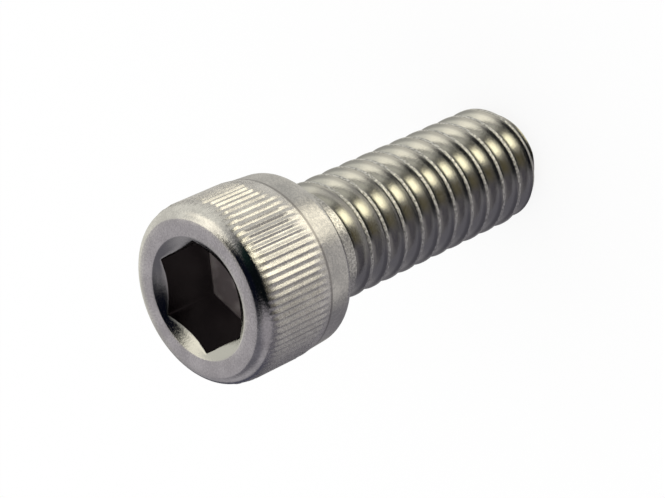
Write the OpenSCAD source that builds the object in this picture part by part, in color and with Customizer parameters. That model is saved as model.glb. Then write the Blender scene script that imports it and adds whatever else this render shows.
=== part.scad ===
// Socket head bolt, fully threaded, with a straight-knurled head.
// It stands on its flat end: z = 0 is the thread's end and +Z runs along the axis to the head's
// face. A corner of the hexagon socket lies on the +X axis.

/* [Head] */
// diameter over the tops of the knurl's ridges
head_d = 9.4; // [8.8:0.05:10.5]
// height of the head
head_h = 6.35; // [6:0.05:9]
// radius of the rounded edge round the face
face_edge_r = 0.55; // [0.2:0.05:0.7]
// radius of the rounded edge next to the shank
back_edge_r = 0.65; // [0.3:0.05:0.7]
// how much the band behind the knurl narrows towards the shank, on the radius
back_taper = 0.07; // [0:0.01:0.15]

/* [Knurl] */
// number of ridges round the head
ridges = 80; // [60:4:88]
// height of a ridge above the plain bands
ridge_h = 0.1; // [0.06:0.01:0.14]
// width of a ridge at its foot
ridge_foot_w = 0.22; // [0.18:0.01:0.24]
// width of a ridge at its top
ridge_top_w = 0.08; // [0.04:0.01:0.12]
// plain band between the knurl and the shank side of the head
back_band_w = 1.8; // [1.5:0.05:2.2]

/* [Socket] */
// hexagon, across the flats
hex_af = 5.1; // [4:0.05:5.2]
// depth of the flats, from the face
socket_depth = 3.4; // [2.5:0.1:4]
// diameter of the lead-in cone at the face
lead_in_d = 6.4; // [6.1:0.05:6.8]
// full angle of the lead-in cone
lead_in_angle = 120; // [90:5:130]
// full angle of the punch's point at the bottom
point_angle = 150; // [140:5:170]

/* [Thread] */
// diameter over the thread's crests
thread_d = 6.35; // [5.5:0.05:6.6]
// distance from one crest to the next
pitch = 1.27; // [1:0.01:1.6]
// length of the shank under the head
shank_l = 16.1; // [10:0.1:30]
// plain length under the head, to the middle of the groove's end
run_in_l = 1; // [0.8:0.05:2]
// part of a turn over which the groove runs out
run_in_turn = 0.3; // [0.1:0.05:0.6]
// angle by which the thread is turned about the axis
thread_start = 130; // [0:1:359]
// radius of the fillet under the head
neck_r = 0.25; // [0.1:0.05:0.4]

/* [Thread end] */
// length of the bevel at the thread's end
end_bevel_l = 0.95; // [0.3:0.05:1.2]
// depth of the bevel on the radius
end_bevel_r = 0.6; // [0.3:0.05:0.7]

/* [Smoothness] */
// points round each turn of the thread
turn_points = 36; // [24:4:48]
// segments of the round outlines in a preview
$fn = 96; // [48:16:160]

/* [Hidden] */
// How far a cutting shape reaches past the surface that it cuts.
cut_eps = 0.5;
flank_angle = 30;
steel = [0.66, 0.65, 0.62];

top_z = shank_l + head_h;
head_r = head_d / 2;
band_r = head_r - ridge_h;
// The knurl runs out on the rounded edge, at this share of its radius from the face.
knurl_edge_share = 0.8;
knurl_high = top_z - face_edge_r * knurl_edge_share;
knurl_low = shank_l + back_band_w;
ridge_root = 0.05;
ridge_rise = ridge_h + ridge_root + cut_eps;
ridge_end_slope = 2;
ridge_step = 360 / ridges;

hex_r = hex_af / 2 / cos(30);
socket_z = top_z - socket_depth;
lead_in_h = lead_in_d / 2 / tan(lead_in_angle / 2);
// Flat rim between the punch's point and the nearest flats.
point_rim = 0.15;
point_r = hex_af / 2 - point_rim;
point_h = point_r / tan(point_angle / 2);

thread_r = thread_d / 2;
// The thread is built this much longer than the shank at either end.
thread_spare = 1;
thread_from = -thread_spare;
thread_to = shank_l + thread_spare;
// The neck starts this much inside the faceted shank, so that the two always meet.
neck_sink = 0.005;

// The thread's section, in pitches from the middle of a crest: flat crests, straight flanks
// and roots rounded to a radius, as on a rolled inch or metric thread.
crest_half = 1 / 16;
root_round = 0.144;
sharp_depth = (0.5 - crest_half) / tan(flank_angle);
root_centre = sharp_depth - root_round / sin(flank_angle);
root_arc = [for (a = [-60:30:60]) [0.5 + root_round * sin(a), root_centre + root_round * cos(a)]];
turn_profile = concat([[-crest_half, 0], [crest_half, 0]], root_arc);
per_turn = len(turn_profile);
core_r = thread_r - pitch * (root_centre + root_round);

crest_shift = pitch * thread_start / 360;
first_turn = floor((thread_from - crest_shift) / pitch) - 2;
last_turn = ceil((thread_to - crest_shift) / pitch) + 1;
column_points = (last_turn - first_turn + 1) * per_turn;
groove_to = (shank_l - run_in_l - crest_shift) / pitch;

// How much of its depth a groove has, by its height along the helix in pitches.
function groove_share(turn) = min(max((groove_to - turn) / run_in_turn, 0), 1);

// A point of the thread at an angle and a height, on the core beyond either end.
function thread_point(angle, r, z) =
    z < thread_from ? [core_r * cos(angle), core_r * sin(angle), thread_from]
    : z > thread_to ? [core_r * cos(angle), core_r * sin(angle), thread_to]
    : [r * cos(angle), r * sin(angle), z];

// One column of points up the shank at an angle, each turn shifted up by the angle's share.
function thread_column(angle) = [
    for (turn = [first_turn:last_turn], p = turn_profile)
        let (lift = turn + angle / 360)
            thread_point(angle, thread_r - pitch * p[1] * groove_share(lift + 0.5),
                         crest_shift + pitch * (lift + p[0]))
];

// The index of a point, where the column after the last is the first one, a turn further up.
function point_index(column, row) =
    column < turn_points ? column * column_points + row : row + per_turn;

// A triangle as a list of one face, or no face where two of its corners meet.
function real_face(points, a, b, c) =
    points[a] == points[b] || points[b] == points[c] || points[c] == points[a] ? [] : [[a, b, c]];

module thread_body() {
    angles = [for (i = [0:turn_points - 1]) i * 360 / turn_points];
    points = [for (angle = angles) each thread_column(angle)];
    last_row = column_points - 1;
    walls = [
        for (i = [0:turn_points - 1])
            let (rows = i == turn_points - 1 ? last_row - per_turn : last_row)
                for (j = [0:rows - 1])
                    let (a = point_index(i, j), b = point_index(i + 1, j))
                        each concat(real_face(points, a, a + 1, b + 1), real_face(points, a, b + 1, b))
    ];
    low_end = [for (i = [0:turn_points - 1]) point_index(i, 0)];
    high_end = [for (i = [turn_points - 1:-1:0]) point_index(i, last_row)];
    polyhedron(points, concat(walls, [low_end, high_end]), convexity = 10);
}

// The outline that the thread is cut to: a plain shank with a bevelled end.
module shank_envelope() {
    outer_r = thread_r + cut_eps;
    bevel_slope = end_bevel_r / end_bevel_l;
    rotate_extrude()
        polygon([
            [0, 0],
            [thread_r - end_bevel_r, 0],
            [outer_r, end_bevel_l + cut_eps / bevel_slope],
            [outer_r, thread_to + cut_eps],
            [0, thread_to + cut_eps]
        ]);
}

// The fillet between the head's underside and the shank.
module neck() {
    shank_r = thread_r * cos(180 / turn_points) - neck_sink;
    translate([0, 0, shank_l])
        rotate_extrude()
            difference() {
                translate([shank_r - neck_r, -neck_r])
                    square(2 * neck_r);
                translate([shank_r + neck_r, -neck_r])
                    circle(neck_r);
            }
}

module shank() {
    intersection() {
        thread_body();
        shank_envelope();
    }
    neck();
}

// A square corner less its quarter round, for cutting a rounded edge of radius r.
module edge_cut(r) {
    difference() {
        square(r + cut_eps);
        circle(r);
    }
}

module head_blank() {
    back_r = band_r - back_taper;
    rotate_extrude()
        difference() {
            polygon([
                [0, shank_l],
                [back_r, shank_l],
                [back_r, shank_l + back_edge_r],
                [band_r, knurl_low],
                [band_r, top_z],
                [0, top_z]
            ]);
            translate([band_r - face_edge_r, top_z - face_edge_r])
                edge_cut(face_edge_r);
            translate([back_r - back_edge_r, shank_l + back_edge_r])
                mirror([0, 1])
                    edge_cut(back_edge_r);
        }
}

// The knurl's section: ridges with narrow tops, whose feet are sunk in the plain band.
module knurl_section() {
    root_r = band_r - ridge_root;
    foot_a = asin(ridge_foot_w / 2 / band_r);
    top_a = asin(ridge_top_w / 2 / head_r);
    ridge = [[root_r, -foot_a], [head_r, -top_a], [head_r, top_a], [root_r, foot_a]];
    polygon([
        for (i = [0:ridges - 1], corner = ridge)
            let (angle = i * ridge_step + corner[1])
                corner[0] * [cos(angle), sin(angle)]
    ]);
}

module knurl() {
    root_r = band_r - ridge_root;
    intersection() {
        translate([0, 0, shank_l])
            linear_extrude(head_h)
                knurl_section();
        rotate_extrude()
            polygon([
                [root_r - cut_eps, knurl_low],
                [root_r, knurl_low],
                [head_r + cut_eps, knurl_low + ridge_end_slope * ridge_rise],
                [head_r + cut_eps, knurl_high - ridge_end_slope * ridge_rise],
                [root_r, knurl_high],
                [root_r - cut_eps, knurl_high]
            ]);
    }
}

module socket() {
    translate([0, 0, socket_z])
        cylinder(h = socket_depth + cut_eps, r = hex_r, $fn = 6);
    lead_in_slope = tan(lead_in_angle / 2);
    translate([0, 0, top_z - lead_in_h])
        cylinder(h = lead_in_h + cut_eps, r1 = 0, r2 = lead_in_d / 2 + cut_eps * lead_in_slope);
    rotate_extrude()
        polygon([
            [0, socket_z - point_h],
            [point_r, socket_z],
            [point_r, socket_z + cut_eps],
            [0, socket_z + cut_eps]
        ]);
}

module bolt() {
    color(steel)
        difference() {
            union() {
                head_blank();
                knurl();
                shank();
            }
            socket();
        }
}

bolt();
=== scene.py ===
import math
import random

import bmesh
import bpy
from mathutils import Matrix, Vector


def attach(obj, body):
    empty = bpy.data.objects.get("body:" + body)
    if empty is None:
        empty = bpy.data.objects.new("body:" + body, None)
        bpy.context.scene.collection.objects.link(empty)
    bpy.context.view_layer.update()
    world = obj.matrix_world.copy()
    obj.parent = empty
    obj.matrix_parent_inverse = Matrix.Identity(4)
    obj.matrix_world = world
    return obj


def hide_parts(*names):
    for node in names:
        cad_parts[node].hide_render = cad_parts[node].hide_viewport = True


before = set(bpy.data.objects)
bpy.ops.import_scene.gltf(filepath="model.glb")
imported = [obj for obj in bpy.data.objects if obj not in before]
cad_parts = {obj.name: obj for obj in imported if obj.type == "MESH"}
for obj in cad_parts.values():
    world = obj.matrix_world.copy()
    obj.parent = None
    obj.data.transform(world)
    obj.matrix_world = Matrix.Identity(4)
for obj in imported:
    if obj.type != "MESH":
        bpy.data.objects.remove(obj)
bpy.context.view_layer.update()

# Sizes of the bolt in millimetres, as the CAD model has them. z = 0 is the thread's flat end.
SHANK_L = 16.1
HEAD_H = 6.35
TOP_Z = SHANK_L + HEAD_H
HEAD_R = 9.4 / 2
RIDGE_H = 0.1
BAND_R = HEAD_R - RIDGE_H
FACE_EDGE_R = 0.55
BACK_EDGE_R = 0.65
BACK_TAPER = 0.07
BACK_BAND_W = 1.8
RIDGES = 80
HEX_AF = 5.1
SOCKET_DEPTH = 3.4
LEAD_IN_R = 6.4 / 2
LEAD_IN_SLOPE = 1 / math.tan(math.radians(120 / 2))
POINT_SLOPE = 1 / math.tan(math.radians(150 / 2))
THREAD_R = 6.35 / 2
PITCH = 1.27
RUN_IN_L = 1.0
RUN_IN_TURN = 0.3
THREAD_START = 130 / 360
NECK_R = 0.25
END_BEVEL_L = 0.95
END_BEVEL_R = 0.6
MM = 0.001

# The photograph's frame, and the camera that was fitted to it.
PHOTO_W = 665
FOCAL_PX = 2600
SENSOR_W = 36
SHIFT_X_PX = 3.56
SHIFT_Y_PX = 0.61
VIEW_AZIMUTH = 118.44
VIEW_ELEVATION = 40.54
VIEW_ROLL = -115.04
VIEW_DISTANCE = 0.13102
VIEW_AIM = Vector((0.00046, 0.00025, 0.01357))
CLIP_NEAR = 0.001
CLIP_FAR = 10

SEED = 7
rng = random.Random(SEED)


# Camera

def direction(azimuth, elevation):
    """The unit vector at an azimuth, counter-clockwise from +X, and an elevation, in degrees."""
    a, e = math.radians(azimuth), math.radians(elevation)
    return Vector((math.cos(a) * math.cos(e), math.sin(a) * math.cos(e), math.sin(e)))


def make_camera():
    data = bpy.data.cameras.new("camera")
    data.sensor_width = SENSOR_W
    data.lens = SENSOR_W * FOCAL_PX / PHOTO_W
    data.shift_x = SHIFT_X_PX / PHOTO_W
    data.shift_y = SHIFT_Y_PX / PHOTO_W
    data.clip_start = CLIP_NEAR
    data.clip_end = CLIP_FAR
    camera = bpy.data.objects.new("camera", data)
    bpy.context.scene.collection.objects.link(camera)
    towards = direction(VIEW_AZIMUTH, VIEW_ELEVATION)
    level = (-towards).to_track_quat("-Z", "Y").to_matrix().to_4x4()
    roll = Matrix.Rotation(math.radians(VIEW_ROLL), 4, "Z")
    camera.matrix_world = Matrix.Translation(VIEW_AIM + towards * VIEW_DISTANCE) @ level @ roll
    bpy.context.scene.camera = camera


make_camera()


# Mesh helpers. A ring is a list of vertex numbers in order of their angle about the axis.

class Shape:
    def __init__(self):
        self.points = []
        self.faces = []

    def ring(self, points):
        first = len(self.points)
        self.points.extend(points)
        return list(range(first, len(self.points)))

    def strip(self, lower, upper):
        """Quads between two rings of as many points."""
        count = len(lower)
        for i in range(count):
            j = (i + 1) % count
            self.faces.append((lower[i], lower[j], upper[j], upper[i]))

    def zip(self, lower, upper):
        """Triangles between two rings of any number of points, by their angles."""
        low = self.by_angle(lower)
        high = self.by_angle(upper)
        i = j = 0
        while i < len(low) or j < len(high):
            next_low = low[i + 1][0] if i + 1 < len(low) else low[0][0] + math.tau
            next_high = high[j + 1][0] if j + 1 < len(high) else high[0][0] + math.tau
            take_low = j >= len(high) or (i < len(low) and next_low <= next_high)
            a = low[i % len(low)][1]
            b = high[j % len(high)][1]
            if take_low:
                i += 1
                self.faces.append((a, low[i % len(low)][1], b))
            else:
                j += 1
                self.faces.append((a, high[j % len(high)][1], b))

    def by_angle(self, ring):
        found = []
        for index in ring:
            x, y, _ = self.points[index]
            found.append((math.atan2(y, x) % math.tau, index))
        return sorted(found)

    def fan(self, ring, centre, up):
        self.points.append(centre)
        hub = len(self.points) - 1
        count = len(ring)
        for i in range(count):
            pair = (ring[i], ring[(i + 1) % count])
            self.faces.append((*pair, hub) if up else (pair[1], pair[0], hub))


def circle(count, r, z):
    return [(r * math.cos(math.tau * i / count), r * math.sin(math.tau * i / count), z)
            for i in range(count)]


def arc(centre_r, centre_z, radius, start, end, steps):
    """Points (r, z) along an arc, from a start to an end angle in degrees."""
    found = []
    for k in range(steps + 1):
        a = math.radians(start + (end - start) * k / steps)
        found.append((centre_r + radius * math.cos(a), centre_z + radius * math.sin(a)))
    return found


# Thread: rows follow the helix, on a flat sheet of (angle, height, radius) that is cut and then
# rolled up.

SHANK_COLUMNS = 192
SHEET_W = 40.0
FLANK_ANGLE = math.radians(30)
# The section, in pitches: the CAD model's crest and root, then the softer ones drawn here.
CREST_HALF = 1 / 16
ROOT_ROUND = 0.144
CREST_ROUND = 0.05
CREST_WIDE = 0.085
ROOT_TIP = 0.0812
ROOT_WIDE = 0.6
# The angles of the points on a crest's rounded edge, and those at which the root's tight round
# goes over into the wide ones and at which they meet the flanks, with the steps between points.
CREST_ANGLES = (0, 30, 60)
ROOT_TURN = 40
ROOT_END = 60
TIGHT_STEP = 20
WIDE_STEP = 5
# The places of the points on a flank, as shares of its length.
FLANK_POINTS = (0.08, 0.5, 0.92)
SHARP_DEPTH = (0.5 - CREST_HALF) / math.tan(FLANK_ANGLE)
ROOT_CENTRE = SHARP_DEPTH - ROOT_ROUND / math.sin(FLANK_ANGLE)
CREST_SHIFT = PITCH * THREAD_START
GROOVE_TO = (SHANK_L - RUN_IN_L - CREST_SHIFT) / PITCH
NECK_Z = SHANK_L - NECK_R
# A ring inside the flat end: its points, and its share of the end's radius.
END_INNER_POINTS = 96
END_INNER_SHARE = 0.6
# How near a point counts as on a cut, and how near two points count as one.
CUT_REACH = 1e-6
MERGE_REACH = 1e-5


def between(a, b):
    """Points near both ends of a flank, so that its shading stays flat."""
    return [(a[0] + (b[0] - a[0]) * t, a[1] + (b[1] - a[1]) * t) for t in FLANK_POINTS]


def thread_profile():
    """Points (place, depth) over one pitch, in pitches from the middle of a crest."""
    # The rounded edge of a crest touches the flat and the flank as far from their corner.
    reach = CREST_ROUND * math.tan(FLANK_ANGLE)
    centre = CREST_WIDE - reach
    edge = []
    for a in CREST_ANGLES:
        edge.append((centre + CREST_ROUND * math.sin(math.radians(a)),
                     CREST_ROUND * (1 - math.cos(math.radians(a)))))
    before = [(-x, d) for x, d in reversed(edge)]
    # The root is a tight round between two wide ones, which run into the flanks.
    half = []
    for a in range(0, ROOT_TURN + 1, TIGHT_STEP):
        half.append((ROOT_TIP * math.sin(math.radians(a)), ROOT_TIP * math.cos(math.radians(a))))
    shift = (ROOT_WIDE - ROOT_TIP) * math.sin(math.radians(ROOT_TURN))
    lift = (ROOT_WIDE - ROOT_TIP) * math.cos(math.radians(ROOT_TURN))
    for a in range(ROOT_TURN + WIDE_STEP, ROOT_END + 1, WIDE_STEP):
        half.append((ROOT_WIDE * math.sin(math.radians(a)) - shift,
                     ROOT_WIDE * math.cos(math.radians(a)) - lift))
    tip = ROOT_CENTRE + ROOT_ROUND - ROOT_TIP
    root = [(0.5 - x, tip + d) for x, d in reversed(half[1:])]
    root += [(0.5 + x, tip + d) for x, d in half]
    down = between(edge[-1], root[0])
    up = between((root[-1][0] - 1, root[-1][1]), before[0])
    return before + edge + down + root + [(x + 1, d) for x, d in up]


def groove_share(turn):
    """How much of its depth the groove has, by its height along the helix in pitches."""
    share = min(max((GROOVE_TO - turn) / RUN_IN_TURN, 0), 1)
    return share * share * (3 - 2 * share)


def thread_sheet():
    profile = thread_profile()
    # A pitch and some turns more than the shank at either end, which the cuts take off.
    first = math.floor((-PITCH - CREST_SHIFT) / PITCH) - 2
    last = math.ceil((NECK_Z + PITCH - CREST_SHIFT) / PITCH) + 1
    bm = bmesh.new()
    columns = []
    for i in range(SHANK_COLUMNS + 1):
        part = i / SHANK_COLUMNS
        column = []
        for turn in range(first, last + 1):
            for place, depth in profile:
                lift = turn + part
                share = groove_share(lift + 0.5)
                z = CREST_SHIFT + PITCH * (lift + place)
                r = THREAD_R - PITCH * depth * share
                column.append(bm.verts.new((part * SHEET_W, z, r)))
        columns.append(column)
    for left, right in zip(columns, columns[1:]):
        for j in range(len(left) - 1):
            bm.faces.new((left[j], right[j], right[j + 1], left[j + 1]))
    return bm


def cut(bm, point, normal, clear):
    """Cuts all faces at a plane and, if asked, clears what lies beyond it."""
    bmesh.ops.bisect_plane(bm, geom=bm.verts[:] + bm.edges[:] + bm.faces[:], dist=CUT_REACH,
                           plane_co=point, plane_no=normal, clear_outer=clear)


def add_shank(shape):
    """Adds the threaded shank and gives its upper ring."""
    bm = thread_sheet()
    cut(bm, (0, NECK_Z, 0), (0, 1, 0), True)
    cut(bm, (0, 0, 0), (0, -1, 0), True)
    end_r = THREAD_R - END_BEVEL_R
    slope = END_BEVEL_R / END_BEVEL_L
    cut(bm, (0, 0, end_r), (0, -slope, 1), False)
    for v in bm.verts:
        part, z, r = v.co.x / SHEET_W, v.co.y, v.co.z
        r = min(r, end_r + z * slope)
        v.co = (r * math.cos(math.tau * part), r * math.sin(math.tau * part), z)
    bmesh.ops.remove_doubles(bm, verts=bm.verts[:], dist=MERGE_REACH)
    first = len(shape.points)
    bm.verts.index_update()
    shape.points.extend(tuple(v.co) for v in bm.verts)
    shape.faces.extend(tuple(first + v.index for v in f.verts) for f in bm.faces)
    rim = [v for v in bm.verts if v.is_boundary]
    lower = [first + v.index for v in rim if v.co.z < NECK_Z / 2]
    upper = [first + v.index for v in rim if v.co.z > NECK_Z / 2]
    bm.free()
    inner = shape.ring(circle(END_INNER_POINTS, end_r * END_INNER_SHARE, 0))
    shape.zip(inner, lower)
    shape.fan(inner, (0, 0, 0), False)
    return upper


# Head: rings from the neck up over the back, the knurl and the rounded edge to the face.

RIDGE_POINTS = 6
RIDGE_FOOT_W = 0.27
RIDGE_TOP_W = 0.05
RIDGE_RISE = 0.088
RIDGE_LEAN = 0.008
# How uneven the ridges are: their heights as shares, and how far their ends fall short.
HEIGHT_SHARES = (0.9, 1.0)
LOW_SHORT = (0.0, 0.3)
HIGH_SHORT = (0.0, 0.2)
# The length over which a ridge rises at its low end and falls at its high end.
LOW_RAMP = 0.5
HIGH_RAMP = 0.4
# The angles between which the face's rounded edge runs, from the side's normal.
EDGE_FROM = 9
EDGE_TO = 75
# The knurl runs out on the rounded edge, at this share of its radius from the face.
KNURL_EDGE_SHARE = 0.8
KNURL_LOW = SHANK_L + BACK_BAND_W
KNURL_HIGH = TOP_Z - FACE_EDGE_R * KNURL_EDGE_SHARE
KNURL_STEPS = 20
NECK_STEPS = 6
BACK_EDGE_STEPS = 10
FACE_EDGE_STEPS = 12
# The neck lies this much above the thread's cut, so that their rings stay apart.
NECK_LIFT = 0.001
# Flat of the bearing face between the neck and the first ring of the head.
NECK_MARGIN = 0.06


def knurl_angles():
    """For each column, its angle and how much of a ridge's height it has."""
    foot = RIDGE_FOOT_W / 2 / HEAD_R
    top = RIDGE_TOP_W / 2 / HEAD_R
    lean = RIDGE_LEAN / HEAD_R
    step = math.tau / RIDGES
    found = []
    for i in range(RIDGES):
        middle = i * step
        high = middle - lean
        found += [(middle - foot, 0.0), (high - top, 1.0), (high, 1.0), (high + top, 1.0),
                  (middle + foot, 0.0), (middle + step / 2, 0.0)]
    return found


def add_head(shape, neck_ring):
    """Adds the head's outside on the neck's ring and gives the ring round the face's flat."""
    back_r = BAND_R - BACK_TAPER
    for r, z in arc(THREAD_R + NECK_R, NECK_Z, NECK_R, 180, 90, NECK_STEPS):
        ring = shape.ring(circle(SHANK_COLUMNS, r, z + NECK_LIFT))
        if len(neck_ring) == len(ring):
            shape.strip(neck_ring, ring)
        else:
            shape.zip(neck_ring, ring)
        neck_ring = ring
    columns = knurl_angles()
    ridge_heights = [RIDGE_RISE * rng.uniform(*HEIGHT_SHARES) for _ in range(RIDGES)]
    low_ends = [rng.uniform(*LOW_SHORT) for _ in range(RIDGES)]
    high_ends = [rng.uniform(*HIGH_SHORT) for _ in range(RIDGES)]

    def plain(r, z):
        return shape.ring([(r * math.cos(a), r * math.sin(a), z) for a, _ in columns])

    rings = [plain(THREAD_R + NECK_R + NECK_MARGIN, SHANK_L)]
    shape.zip(neck_ring, rings[0])
    back_z = SHANK_L + BACK_EDGE_R
    for r, z in arc(back_r - BACK_EDGE_R, back_z, BACK_EDGE_R, -90, 0, BACK_EDGE_STEPS):
        rings.append(plain(r, z))
    rings.append(plain((back_r + BAND_R) / 2, (back_z + KNURL_LOW) / 2))
    # The rounded edge meets the face in a crease, so its arc is a little wider than a quarter
    # round and stops before it is level.
    round_r = FACE_EDGE_R / (math.cos(math.radians(EDGE_FROM)) - math.cos(math.radians(EDGE_TO)))
    centre_r = BAND_R - round_r * math.cos(math.radians(EDGE_FROM))
    centre_z = TOP_Z - round_r * math.sin(math.radians(EDGE_TO))
    edge_z = centre_z + round_r * math.sin(math.radians(EDGE_FROM))
    for k in range(KNURL_STEPS + 1):
        z = KNURL_LOW + (KNURL_HIGH - KNURL_LOW) * k / KNURL_STEPS
        base = BAND_R
        if z > edge_z:
            base = centre_r + math.sqrt(round_r ** 2 - (z - centre_z) ** 2)
        points = []
        for c, (a, share) in enumerate(columns):
            i = c // RIDGE_POINTS
            rise = min(max((z - KNURL_LOW - low_ends[i]) / LOW_RAMP, 0), 1)
            fall = min(max((KNURL_HIGH - high_ends[i] - z) / HIGH_RAMP, 0), 1)
            r = base + ridge_heights[i] * share * min(rise, fall)
            points.append((r * math.cos(a), r * math.sin(a), z))
        rings.append(shape.ring(points))
    start = math.degrees(math.asin((KNURL_HIGH - centre_z) / round_r))
    for r, z in arc(centre_r, centre_z, round_r, start, EDGE_TO, FACE_EDGE_STEPS)[1:]:
        rings.append(plain(r, z))
    for lower, upper in zip(rings, rings[1:]):
        shape.strip(lower, upper)
    return rings[-1]


# Socket: rings from the face's flat down the lead-in cone and the flats to the punch's point.

CORNER_ROUND = 0.12
SIDE_POINTS = 20
CORNER_POINTS = 4
# Flat rim between the punch's point and the nearest flats.
POINT_RIM = 0.15
# The rings of the socket: shares of the way down the cone, depths below the cone's edge, and
# shares of the punch point's radius.
CONE_SHARES = (0.06, 0.35, 0.65, 0.92)
FLAT_DEPTHS = (0.03, 0.1, 0.5, 1.2, 2.0)
POINT_SHARES = (1.0, 0.97, 0.7, 0.4, 0.12)
# The face's flat ends this far outside the cone's edge, which softens the edge.
LIP = 0.03


def hexagon(across, corner):
    """Points (x, y) round a hexagon with rounded corners, one of them on +X."""
    found = []
    centre = (across / 2 - corner) / math.cos(math.radians(30))
    for side in range(6):
        angle = math.radians(60 * side)
        cx, cy = centre * math.cos(angle), centre * math.sin(angle)
        for k in range(CORNER_POINTS + 1):
            a = angle + math.radians(-30 + 60 * k / CORNER_POINTS)
            found.append((cx + corner * math.cos(a), cy + corner * math.sin(a)))
        last = found[-1]
        ahead = angle + math.radians(60)
        nx, ny = centre * math.cos(ahead), centre * math.sin(ahead)
        end = (nx + corner * math.cos(ahead - math.radians(30)),
               ny + corner * math.sin(ahead - math.radians(30)))
        for k in range(1, SIDE_POINTS):
            t = k / SIDE_POINTS
            found.append((last[0] + (end[0] - last[0]) * t, last[1] + (end[1] - last[1]) * t))
    return found


def add_socket(shape, face_ring):
    outline = hexagon(HEX_AF, CORNER_ROUND)
    radii = [math.hypot(x, y) for x, y in outline]

    def cone_z(r):
        return TOP_Z - (LEAD_IN_R - r) * LEAD_IN_SLOPE

    def at_share(t):
        """A ring on the cone, a share of the way from the face's edge to the hexagon."""
        found = []
        for (x, y), r in zip(outline, radii):
            wanted = LEAD_IN_R + (r - LEAD_IN_R) * t
            found.append((x * wanted / r, y * wanted / r, cone_z(wanted)))
        return shape.ring(found)

    lip_r = LEAD_IN_R + LIP
    first = shape.ring([(x * lip_r / r, y * lip_r / r, TOP_Z)
                        for (x, y), r in zip(outline, radii)])
    shape.zip(face_ring, first)
    rings = [first] + [at_share(t) for t in CONE_SHARES]
    for drop in FLAT_DEPTHS:
        rings.append(shape.ring([(x, y, cone_z(r) - drop) for (x, y), r in zip(outline, radii)]))
    floor_z = TOP_Z - SOCKET_DEPTH
    rings.append(shape.ring([(x, y, floor_z) for x, y in outline]))
    point_r = HEX_AF / 2 - POINT_RIM
    for share in POINT_SHARES:
        rings.append(shape.ring([
            (x / r * point_r * share, y / r * point_r * share,
             floor_z - point_r * (1 - share) * POINT_SLOPE)
            for (x, y), r in zip(outline, radii)]))
    for upper, lower in zip(rings, rings[1:]):
        shape.strip(upper, lower)
    shape.fan(rings[-1], (0, 0, floor_z - point_r * POINT_SLOPE), True)


# From this angle on, in degrees, an edge is shaded as a crease.
SHARP_ANGLE = 38
# Edges shorter than this, in metres, are dissolved.
TINY_EDGE = 1e-7


def make_bolt():
    shape = Shape()
    upper = add_shank(shape)
    face_ring = add_head(shape, upper)
    add_socket(shape, face_ring)
    mesh = bpy.data.meshes.new("bolt_body")
    mesh.from_pydata([(x * MM, y * MM, z * MM) for x, y, z in shape.points], [], shape.faces)
    mesh.validate()
    bm = bmesh.new()
    bm.from_mesh(mesh)
    bmesh.ops.dissolve_degenerate(bm, dist=TINY_EDGE, edges=bm.edges[:])
    bmesh.ops.recalc_face_normals(bm, faces=bm.faces[:])
    bm.to_mesh(mesh)
    bm.free()
    mesh.shade_smooth()
    mesh.set_sharp_from_angle(angle=math.radians(SHARP_ANGLE))
    bolt = bpy.data.objects.new("bolt_body", mesh)
    bpy.context.scene.collection.objects.link(bolt)
    return bolt


# Node helpers. A number or a tuple stands for a fixed input.

class Nodes:
    def __init__(self, tree):
        self.tree = tree

    def new(self, kind):
        return self.tree.nodes.new(kind)

    def join(self, value, socket):
        if isinstance(value, (int, float, tuple)):
            socket.default_value = value
        else:
            self.tree.links.new(value, socket)

    def math(self, operation, *values):
        node = self.new("ShaderNodeMath")
        node.operation = operation
        for value, socket in zip(values, node.inputs):
            self.join(value, socket)
        return node.outputs[0]

    def step(self, value, start, end, low=0.0, high=1.0):
        """A smooth step from low to high while the value goes from start to end."""
        node = self.new("ShaderNodeMapRange")
        node.interpolation_type = "SMOOTHSTEP"
        for value, socket in zip((value, start, end, low, high), node.inputs):
            self.join(value, socket)
        return node.outputs[0]

    def fall(self, value, start, end):
        """A smooth step from 1 to 0 while the value goes from start to end."""
        return self.step(value, start, end, 1.0, 0.0)

    def times(self, a, b):
        return self.math("MULTIPLY", a, b)

    def mix(self, share, a, b):
        node = self.new("ShaderNodeMix")
        node.data_type = "RGBA"
        self.join(share, node.inputs["Factor"])
        for name, value in (("A", a), ("B", b)):
            self.join(value, next(s for s in node.inputs if s.name == name and s.type == "RGBA"))
        return next(s for s in node.outputs if s.type == "RGBA")


def linear(red, green, blue):
    """A display colour of 0 to 255 as the renderer's linear colour."""
    found = []
    for value in (red, green, blue):
        v = value / 255
        found.append(v / 12.92 if v < 0.04045 else ((v + 0.055) / 1.055) ** 2.4)
    return (*found, 1.0)


# Materials

# Soft borders between the steel's surfaces, in millimetres, each from where it starts to where it
# ends. They are depths below the lead-in cone, radii or heights.
SOCKET_DEPTHS = (0.03, 0.08)
SOCKET_R = (3.0, 3.04)
SOCKET_LOW = (TOP_Z - 6, TOP_Z - 5)
BOTTOM_TOP = (TOP_Z - 3.38, TOP_Z - 3.3)
LEAD_IN_DEPTHS = (-0.02, 0.0)
LEAD_IN_RIM = (3.17, 3.2)
LEAD_IN_LOW = (TOP_Z - 1.0, TOP_Z - 0.9)
OUTSIDE = (4.2, 4.3)
EDGE_LOW = (KNURL_HIGH - 0.1, KNURL_HIGH + 0.05)
EDGE_INNER = (4.05, 4.15)
KNURL_STARTS = (KNURL_LOW - 0.1, KNURL_LOW + 0.1)
KNURL_ENDS = (KNURL_HIGH - 0.15, KNURL_HIGH + 0.05)
LINE_STARTS = (KNURL_LOW - 0.14, KNURL_LOW - 0.06)
LINE_ENDS = (KNURL_LOW, KNURL_LOW + 0.1)
BAND_ENDS = (KNURL_LOW - 0.15, KNURL_LOW - 0.05)
SHANK_ENDS = (SHANK_L - 0.1, SHANK_L - 0.05)
FLANK_R = (2.78, 3.0)
CREST_EDGE_SHADE_R = (2.92, 3.08)
CREST_R = (THREAD_R - 0.03, THREAD_R - 0.01)
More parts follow.
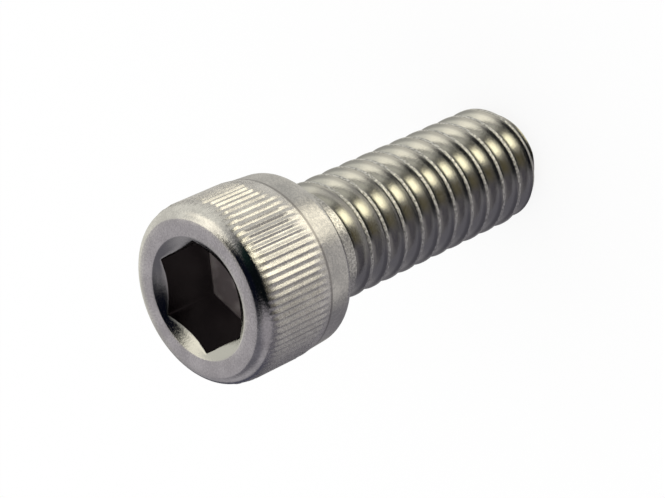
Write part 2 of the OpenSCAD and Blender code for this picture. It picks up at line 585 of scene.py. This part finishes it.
LAND_LOW = (SHANK_L - 2.0, SHANK_L - 1.6)

# Tints of the steel: the darkest and lightest where it is mottled, or a single one. Some are
# painted shade, as noted at each.
PLAIN_TINTS = ((0.75, 0.74, 0.74, 1.0), (1.0, 0.99, 0.98, 1.0))
# The band behind the knurl is mottled like plain steel, but tinted darker as painted shade.
BAND_MOTTLING_AND_SHADE_TINTS = ((0.58, 0.58, 0.58, 1.0), (0.85, 0.84, 0.82, 1.0))
CREST_TINTS = ((0.5, 0.5, 0.49, 1.0), (1.0, 1.0, 0.98, 1.0))
LAND_TINTS = ((0.5, 0.5, 0.49, 1.0), (0.9, 0.89, 0.87, 1.0))
# The socket's bottom is dark brownish grey and mottled.
BOTTOM_TINTS = ((0.18, 0.15, 0.15, 1.0), (0.32, 0.28, 0.27, 1.0))
# A thin dark ring where the knurl ends: painted shade in the step between the knurl and the band.
KNURL_END_PAINTED_SHADE = (0.42, 0.41, 0.41, 1.0)
# The shank, and its flanks a little more, are tinted darker than the head: painted shade in the
# thread's grooves.
SHANK_PAINTED_SHADE = (0.76, 0.755, 0.725, 1.0)
FLANK_PAINTED_SHADE = (0.72, 0.72, 0.70, 1.0)
# A dark strip on the flank just under each crest: painted shade.
CREST_EDGE_PAINTED_SHADE = (0.44, 0.44, 0.44, 1.0)
LEAD_IN_TINT = (0.72, 0.72, 0.70, 1.0)
# The socket's walls are painted near-black: painted shade in the recess, not the steel's own
# colour.
SOCKET_PAINTED_SHADE = (0.13, 0.12, 0.125, 1.0)

# Noises: spots to the millimetre, detail and roughness.
COARSE = (0.9, 4.0, 0.5)
FINE = (9.0, 6.0, 0.65)
GRAIN = (32.0, 4.0, 0.6)

# Shares of the coarse and the fine noise in the mottling, and the values of a noise between which
# the steel goes from its darkest tint, or its smoothest spot, to the other one.
MOTTLING = (0.4, 0.6)
BLOTCHES = (0.38, 0.62)
SPECKLES = (0.42, 0.58)
SCRATCHES = (0.38, 0.62)
BOTTOM_SPOTS = (0.4, 0.65)
SHINE_SPOTS = (0.3, 0.7)

# Roughness of plain steel, from the smoothest to the roughest spot, and what is added elsewhere.
ROUGHNESS = (0.1, 0.18)
ROUGHER = {"knurl": 0.15, "edge": -0.05, "flank": 0.08, "crest": -0.04, "rim": -0.06,
           "bottom": 0.25}

# Height of the bumps in millimetres on plain steel and on the shank, and what is added elsewhere.
HEAD_BUMP = 0.008
SHANK_BUMP = 0.004
BUMPIER = {"knurl": 0.005, "crest": 0.03, "land": -0.025}
GRAIN_SHARE = 0.5

# How metallic the socket's dull, dark bottom is.
BOTTOM_METALLIC = 0.15


def noise(nodes, place, kind):
    scale, detail, roughness = kind
    node = nodes.new("ShaderNodeTexNoise")
    nodes.join(place, node.inputs["Vector"])
    nodes.join(scale, node.inputs["Scale"])
    nodes.join(detail, node.inputs["Detail"])
    nodes.join(roughness, node.inputs["Roughness"])
    return node.outputs[0]


def surfaces(nodes, place):
    """How much of a place, in millimetres, is of each surface, from 0 to 1."""
    split = nodes.new("ShaderNodeSeparateXYZ")
    nodes.join(place, split.inputs[0])
    x, y, z = split.outputs
    r = nodes.math("SQRT", nodes.math("ADD", nodes.times(x, x), nodes.times(y, y)))
    found = {}

    # Inside the socket, by how far a point lies below the lead-in cone. Its walls get painted
    # shade.
    cone = nodes.math("MULTIPLY_ADD", r, LEAD_IN_SLOPE, TOP_Z - LEAD_IN_R * LEAD_IN_SLOPE)
    below = nodes.math("SUBTRACT", cone, z)
    inner = nodes.times(nodes.step(below, *SOCKET_DEPTHS), nodes.fall(r, *SOCKET_R))
    found["socket"] = nodes.times(inner, nodes.step(z, *SOCKET_LOW))
    found["bottom"] = nodes.times(found["socket"], nodes.fall(z, *BOTTOM_TOP))
    inner = nodes.times(nodes.step(below, *LEAD_IN_DEPTHS), nodes.fall(r, *LEAD_IN_RIM))
    found["lead_in"] = nodes.times(inner, nodes.step(z, *LEAD_IN_LOW))

    # Round the head: the face's edge, the knurl, the thin ring of painted shade at its low end
    # and the band behind it, which is painted darker as shade.
    outside = nodes.step(r, *OUTSIDE)
    found["edge"] = nodes.times(nodes.step(z, *EDGE_LOW), nodes.step(r, *EDGE_INNER))
    knurl = nodes.times(nodes.step(z, *KNURL_STARTS), nodes.fall(z, *KNURL_ENDS))
    found["knurl"] = nodes.times(knurl, outside)
    line = nodes.times(nodes.step(z, *LINE_STARTS), nodes.fall(z, *LINE_ENDS))
    found["line"] = nodes.times(outside, line)
    # The band is painted darker as shade.
    found["band"] = nodes.times(outside, nodes.fall(z, *BAND_ENDS))

    # Along the shank: the flanks, the rim next to a crest, which is painted dark as shade, the
    # crests and the plain land.
    # The shank is painted darker than the head as shade, its flanks a little more.
    found["shank"] = nodes.fall(z, *SHANK_ENDS)
    found["flank"] = nodes.times(found["shank"], nodes.step(r, *FLANK_R))
    found["rim"] = nodes.times(found["shank"], nodes.step(r, *CREST_EDGE_SHADE_R))
    found["crest"] = nodes.times(found["shank"], nodes.step(r, *CREST_R))
    found["land"] = nodes.times(found["crest"], nodes.step(z, *LAND_LOW))
    return found


def steel_colour(nodes, on, coarse, fine):
    """The tint at a place, where each surface covers the ones before it; some surfaces carry
    painted shade.
    """
    mottled = nodes.math("ADD", nodes.times(coarse, MOTTLING[0]), nodes.times(fine, MOTTLING[1]))
    blotches = nodes.step(mottled, *BLOTCHES)
    layers = [
        # painted shade on the band, over its mottling
        ("band", nodes.mix(blotches, *BAND_MOTTLING_AND_SHADE_TINTS)),
        # painted shade where the knurl ends
        ("line", KNURL_END_PAINTED_SHADE),
        # painted shade over the shank, more on its flanks
        ("shank", SHANK_PAINTED_SHADE),
        ("flank", FLANK_PAINTED_SHADE),
        # painted shade next to each crest
        ("rim", CREST_EDGE_PAINTED_SHADE),
        ("crest", nodes.mix(nodes.step(fine, *SPECKLES), *CREST_TINTS)),
        ("land", nodes.mix(nodes.step(fine, *SCRATCHES), *LAND_TINTS)),
        ("lead_in", LEAD_IN_TINT),
        # painted shade on the socket's walls
        ("socket", SOCKET_PAINTED_SHADE),
        ("bottom", nodes.mix(nodes.step(coarse, *BOTTOM_SPOTS), *BOTTOM_TINTS)),
    ]
    colour = nodes.mix(blotches, *PLAIN_TINTS)
    for surface, tint in layers:
        colour = nodes.mix(on[surface], colour, tint)
    return colour


def steel_material():
    """Steel whose tint, shine and bumps go by the place on the bolt; the tint holds painted shade
    in the socket, on the back of the head and along the thread.
    """
    material = bpy.data.materials.new("stainless_steel")
    material.use_nodes = True
    nodes = Nodes(material.node_tree)
    shader = material.node_tree.nodes["Principled BSDF"]
    scale = nodes.new("ShaderNodeVectorMath")
    scale.operation = "SCALE"
    nodes.join(nodes.new("ShaderNodeTexCoord").outputs["Object"], scale.inputs[0])
    nodes.join(1 / MM, scale.inputs["Scale"])
    place = scale.outputs[0]
    coarse = noise(nodes, place, COARSE)
    fine = noise(nodes, place, FINE)
    grain = noise(nodes, place, GRAIN)
    on = surfaces(nodes, place)

    nodes.join(steel_colour(nodes, on, coarse, fine), shader.inputs["Base Color"])
    metallic = nodes.step(on["bottom"], 0.0, 1.0, 1.0, BOTTOM_METALLIC)
    nodes.join(metallic, shader.inputs["Metallic"])

    shine = nodes.step(fine, *SHINE_SPOTS, *ROUGHNESS)
    for surface, more in ROUGHER.items():
        shine = nodes.math("MULTIPLY_ADD", on[surface], more, shine)
    nodes.join(shine, shader.inputs["Roughness"])

    rise = nodes.step(on["shank"], 0.0, 1.0, HEAD_BUMP, SHANK_BUMP)
    for surface, more in BUMPIER.items():
        rise = nodes.math("MULTIPLY_ADD", on[surface], more, rise)
    height = nodes.times(nodes.math("MULTIPLY_ADD", grain, GRAIN_SHARE, fine), rise)
    bump = nodes.new("ShaderNodeBump")
    nodes.join(1.0, bump.inputs["Strength"])
    nodes.join(MM, bump.inputs["Distance"])
    nodes.join(height, bump.inputs["Height"])
    nodes.join(bump.outputs[0], shader.inputs["Normal"])
    return material


bolt = make_bolt()
bolt.data.materials.append(steel_material())
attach(bolt, "root")
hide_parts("bolt")


# Floor and light

# Half the floor's side in metres, and the part of its white that is its own to the camera.
FLOOR_HALF = 2.0
FLOOR_WHITE = 0.85
FLOOR_ROUGHNESS = 0.9


def make_floor():
    far = FLOOR_HALF
    mesh = bpy.data.meshes.new("floor")
    mesh.from_pydata([(-far, -far, 0), (far, -far, 0), (far, far, 0), (-far, far, 0)],
                     [], [(0, 1, 2, 3)])
    floor = bpy.data.objects.new("floor", mesh)
    bpy.context.scene.collection.objects.link(floor)
    material = bpy.data.materials.new("floor")
    material.use_nodes = True
    shader = material.node_tree.nodes["Principled BSDF"]
    shader.inputs["Base Color"].default_value = (1, 1, 1, 1)
    shader.inputs["Roughness"].default_value = FLOOR_ROUGHNESS
    shader.inputs["Specular IOR Level"].default_value = 0.0
    # To the camera a part of the white is the floor's own, so that the shadow stays faint.
    nodes = Nodes(material.node_tree)
    white = nodes.new("ShaderNodeEmission")
    both = nodes.new("ShaderNodeMixShader")
    ray = nodes.new("ShaderNodeLightPath")
    nodes.join(nodes.times(ray.outputs["Is Camera Ray"], FLOOR_WHITE), both.inputs[0])
    nodes.join(shader.outputs[0], both.inputs[1])
    nodes.join(white.outputs[0], both.inputs[2])
    nodes.join(both.outputs[0], material.node_tree.nodes["Material Output"].inputs["Surface"])
    mesh.materials.append(material)
    # The steel mirrors the cards below, not the floor.
    floor.visible_glossy = False


make_floor()

# What the steel mirrors: cards of light and dark round the bolt, over a plain grey room. Each has
# its azimuth from the camera's, half its width and its edge's softness, its lowest and highest
# elevation with their softness, all in degrees, and its colour on a display.
ROOM = (138, 136, 134)
CARDS = [
    (-120, 62, 10, -35, 60, 10, (208, 206, 196)),
    (-92, 22, 8, 22, 60, 7, (264, 258, 240)),
    (-128, 34, 8, 46, 66, 6, (264, 258, 240)),
    (-124, 64, 10, -95, -38, 6, (200, 197, 190)),
    (45, 40, 12, -95, -37, 5, (184, 180, 176)),
    (-27, 26, 10, -95, -35, 5, (276, 268, 248)),
    (-24, 16, 5, -33, -12, 4, (370, 359, 313)),
    (22, 18, 6, -33, -12, 5, (84, 76, 48)),
    (-50, 8, 5, -33, -5, 6, (100, 98, 92)),
    (80, 42, 10, -33, -8, 6, (80, 77, 86)),
    (80, 42, 10, -8, 60, 6, (138, 134, 138)),
    (140, 30, 12, -33, -8, 6, (66, 66, 80)),
    (135, 40, 12, -6, 22, 6, (148, 145, 149)),
    (125, 32, 12, -95, -37, 5, (128, 125, 129)),
    (135, 40, 12, 22, 62, 8, (98, 96, 103)),
    (180, 24, 8, 24, 56, 6, (162, 158, 161)),
    (4, 44, 4, -9, 95, 4, (8, 11, 13)),
    (-27, 12, 7, 8, 64, 6, (16, 30, 28)),
    (180, 22, 6, 56, 95, 3, (6, 12, 14)),
    (60, 16, 6, 52, 95, 5, (6, 10, 12)),
    (-58, 13, 5, 55, 95, 4, (6, 12, 12)),
    (0, 190, 1, 64, 95, 2, (8, 10, 20)),
]


def make_world():
    world = bpy.data.worlds.new("studio")
    bpy.context.scene.world = world
    world.use_nodes = True
    nodes = Nodes(world.node_tree)
    towards = nodes.new("ShaderNodeTexCoord").outputs["Generated"]
    split = nodes.new("ShaderNodeSeparateXYZ")
    nodes.join(towards, split.inputs[0])
    elevation = nodes.math("DEGREES", nodes.math("ARCSINE", split.outputs["Z"]))
    colour = linear(*ROOM)
    for azimuth, half, soft, low, high, fade, shade in CARDS:
        turn = nodes.new("ShaderNodeVectorRotate")
        turn.rotation_type = "Z_AXIS"
        nodes.join(towards, turn.inputs["Vector"])
        nodes.join(math.radians(azimuth - VIEW_AZIMUTH), turn.inputs["Angle"])
        part = nodes.new("ShaderNodeSeparateXYZ")
        nodes.join(turn.outputs[0], part.inputs[0])
        angle = nodes.math("DEGREES", nodes.math("ARCTAN2", part.outputs["Y"], part.outputs["X"]))
        side = nodes.math("ABSOLUTE", angle)
        across = nodes.fall(side, float(half - soft), float(half + soft))
        above = nodes.step(elevation, float(low - fade), float(low + fade))
        below = nodes.fall(elevation, float(high - fade), float(high + fade))
        share = nodes.times(across, nodes.times(above, below))
        colour = nodes.mix(share, colour, linear(*shade))
    ray = nodes.new("ShaderNodeLightPath")
    shown = nodes.mix(ray.outputs["Is Glossy Ray"], (1.0, 1.0, 1.0, 1.0), colour)
    background = world.node_tree.nodes["Background"]
    nodes.join(shown, background.inputs["Color"])
    background.inputs["Strength"].default_value = 1.0
    # Light sampled from the world would reach the steel as plain white, not as the cards.
    world.cycles.sampling_method = "NONE"


make_world()

bpy.context.scene.view_settings.view_transform = "Standard"

bpy.context.view_layer.update()
